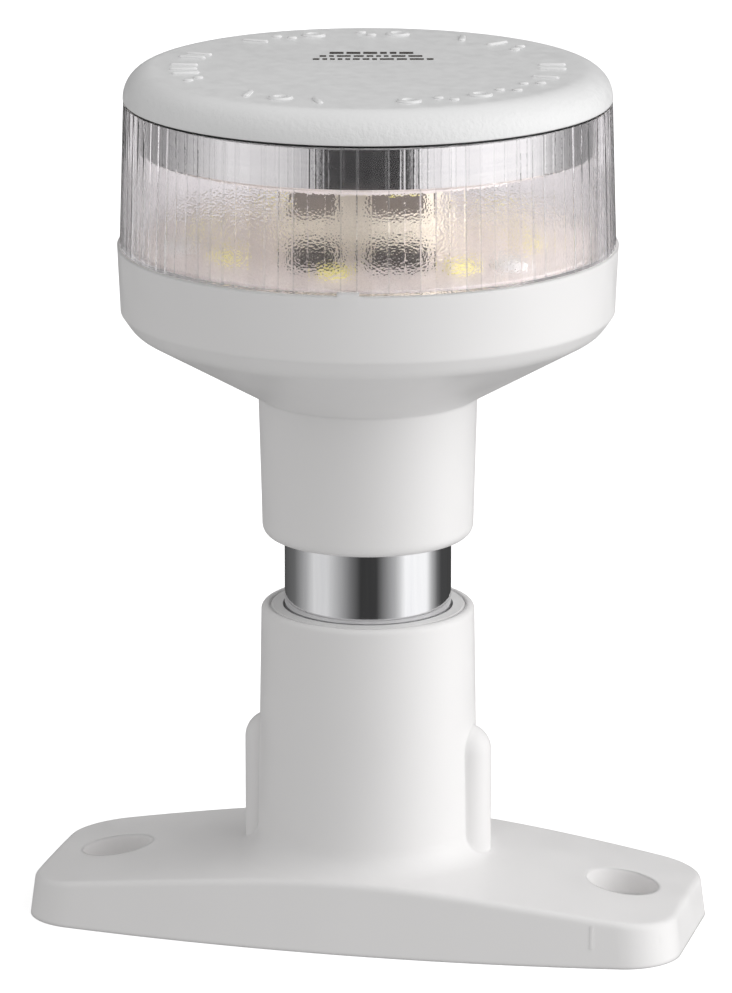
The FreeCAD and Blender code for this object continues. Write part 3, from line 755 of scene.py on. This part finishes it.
def floor():
    """A pale floor that the light and the lens don't see."""
    mesh = bpy.data.meshes.new("floor")
    reach = FLOOR_REACH
    corners = [(-reach, -reach, 0), (reach, -reach, 0), (reach, reach, 0), (-reach, reach, 0)]
    mesh.from_pydata(corners, [], [(0, 1, 2, 3)])
    plane = bpy.data.objects.new("floor", mesh)
    bpy.context.scene.collection.objects.link(plane)
    plane.location.z = -FLOOR_DROP
    plane.visible_glossy = False
    plane.visible_transmission = False
    plane.visible_diffuse = False
    shader = Shader("floor_white").set(Base_Color=(0.9, 0.9, 0.9, 1), Roughness=0.9)
    shader.set(Emission_Color=(1, 1, 1, 1), Emission_Strength=FLOOR_GLOW)
    mesh.materials.append(shader.material)


class Studio:
    """The surroundings: soft light on the shapes, and light and dark panels in the metal."""

    def __init__(self):
        world = bpy.data.worlds.new("studio")
        bpy.context.scene.world = world
        world.use_nodes = True
        self.tree = world.node_tree
        self.tree.nodes.clear()
        self.heading = self.tree.nodes.new("ShaderNodeTexCoord").outputs["Generated"]
        split = self.tree.nodes.new("ShaderNodeSeparateXYZ")
        self.tree.links.new(self.heading, split.inputs[0])
        self.place = split.outputs

    def maths(self, operation, *values):
        node = self.tree.nodes.new("ShaderNodeMath")
        node.operation = operation
        for socket, value in zip(node.inputs, values):
            if isinstance(value, (int, float)):
                socket.default_value = value
            else:
                self.tree.links.new(value, socket)
        return node.outputs[0]

    def mixed(self, amount, first, second):
        node = self.tree.nodes.new("ShaderNodeMix")
        node.data_type = "RGBA"
        self.tree.links.new(amount, node.inputs["Factor"])
        self.tree.links.new(first, node.inputs["A"])
        self.tree.links.new(second, node.inputs["B"])
        return node.outputs["Result"]

    def lobe(self, right, up, light):
        """A broad light that fades with the angle from its middle."""
        azimuth = CAMERA_AZIMUTH + math.radians(right)
        flat = math.cos(math.radians(up))
        dot = self.tree.nodes.new("ShaderNodeVectorMath")
        dot.operation = "DOT_PRODUCT"
        self.tree.links.new(self.heading, dot.inputs[0])
        dot.inputs[1].default_value = (
            math.sin(azimuth) * flat,
            -math.cos(azimuth) * flat,
            math.sin(math.radians(up)),
        )
        facing = self.maths("MAXIMUM", dot.outputs["Value"], 0.0)
        return self.maths("MULTIPLY", self.maths("POWER", facing, LOBE_POWER), light)

    def grey(self, light):
        node = self.tree.nodes.new("ShaderNodeCombineColor")
        for socket in node.inputs[:3]:
            self.tree.links.new(light, socket)
        return node.outputs[0]

    def colour(self, value):
        node = self.tree.nodes.new("ShaderNodeRGB")
        node.outputs[0].default_value = value
        return node.outputs[0]

    def soft_light(self):
        """Even fill with the broad lights over it."""
        light = FILL_LIGHT
        for right, up, strength in BROAD_LIGHTS:
            light = self.maths("ADD", self.lobe(right, up, strength), light)
        return light

    def round_share(self):
        """0 to 1 once round the object, with 0.5 towards the camera."""
        toward = self.maths("MULTIPLY", self.place["Y"], -1)
        angle = self.maths("ARCTAN2", self.place["X"], toward)
        turned = self.maths("SUBTRACT", angle, CAMERA_AZIMUTH)
        return self.maths("FRACT", self.maths("ADD", self.maths("DIVIDE", turned, 2 * math.pi), 0.5))

    def strips(self, share, stops):
        """Upright panels at degrees to the camera's right, under an even overhead light."""
        node = self.tree.nodes.new("ShaderNodeValToRGB")
        ramp = node.color_ramp
        while len(ramp.elements) < len(stops):
            ramp.elements.new(0.5)
        for element, (degrees, light) in zip(ramp.elements, stops):
            element.position = (degrees + 180) / 360
            element.color = (light, light, light, 1)
        self.tree.links.new(share, node.inputs[0])
        overhead = self.tree.nodes.new("ShaderNodeMapRange")
        overhead.inputs["From Min"].default_value = OVERHEAD_FROM
        overhead.inputs["From Max"].default_value = OVERHEAD_TO
        self.tree.links.new(self.place["Z"], overhead.inputs["Value"])
        return self.mixed(overhead.outputs[0], node.outputs[0], self.colour(OVERHEAD))

    def build(self):
        """Each kind of ray meets its own light."""
        share = self.round_share()
        path = self.tree.nodes.new("ShaderNodeLightPath")
        scattered = self.maths("GREATER_THAN", path.outputs["Diffuse Depth"], 0.5)
        straight = self.maths("SUBTRACT", 1.0, scattered)
        reflected = self.maths("GREATER_THAN", path.outputs["Glossy Depth"], 0.5)
        mirrored = self.maths("MULTIPLY", path.outputs["Is Glossy Ray"], straight)
        through = self.maths("MULTIPLY", path.outputs["Is Transmission Ray"], straight)
        inside = self.maths("MULTIPLY", path.outputs["Is Transmission Ray"], scattered)
        soft = self.soft_light()
        light = self.mixed(inside, self.grey(soft), self.grey(self.maths("MULTIPLY", soft, LAMP_LIGHT)))
        light = self.mixed(mirrored, light, self.strips(share, TUBE_STRIPS))
        light = self.mixed(through, light, self.colour(THROUGH_LIGHT))
        in_wall = self.maths("MULTIPLY", through, reflected)
        light = self.mixed(in_wall, light, self.colour(WALL_LIGHT))
        crossed = self.maths("GREATER_THAN", path.outputs["Transmission Depth"], CROSSED_WALL)
        from_drum = self.maths("MULTIPLY", in_wall, crossed)
        light = self.mixed(from_drum, light, self.strips(share, DRUM_STRIPS))
        light = self.mixed(path.outputs["Is Camera Ray"], light, self.colour(BACKDROP))
        background = self.tree.nodes.new("ShaderNodeBackground")
        self.tree.links.new(light, background.inputs["Color"])
        output = self.tree.nodes.new("ShaderNodeOutputWorld")
        self.tree.links.new(background.outputs[0], output.inputs[0])


def camera():
    data = bpy.data.cameras.new("camera")
    data.lens = CAMERA_LENS
    data.sensor_width = SENSOR_WIDTH
    data.clip_end = VIEW_END
    camera = bpy.data.objects.new("camera", data)
    bpy.context.scene.collection.objects.link(camera)
    flat = math.cos(CAMERA_ELEVATION)
    back = Vector((
        math.sin(CAMERA_AZIMUTH) * flat,
        -math.cos(CAMERA_AZIMUTH) * flat,
        math.sin(CAMERA_ELEVATION),
    ))
    camera.location = CAMERA_AIM + back * CAMERA_DISTANCE
    camera.rotation_euler = back.to_track_quat("Z", "Y").to_euler()
    bpy.context.scene.camera = camera


dress_cad_nodes()
lens()
cap()
floor()
Studio().build()
camera()
bpy.context.scene.view_settings.view_transform = "Standard"
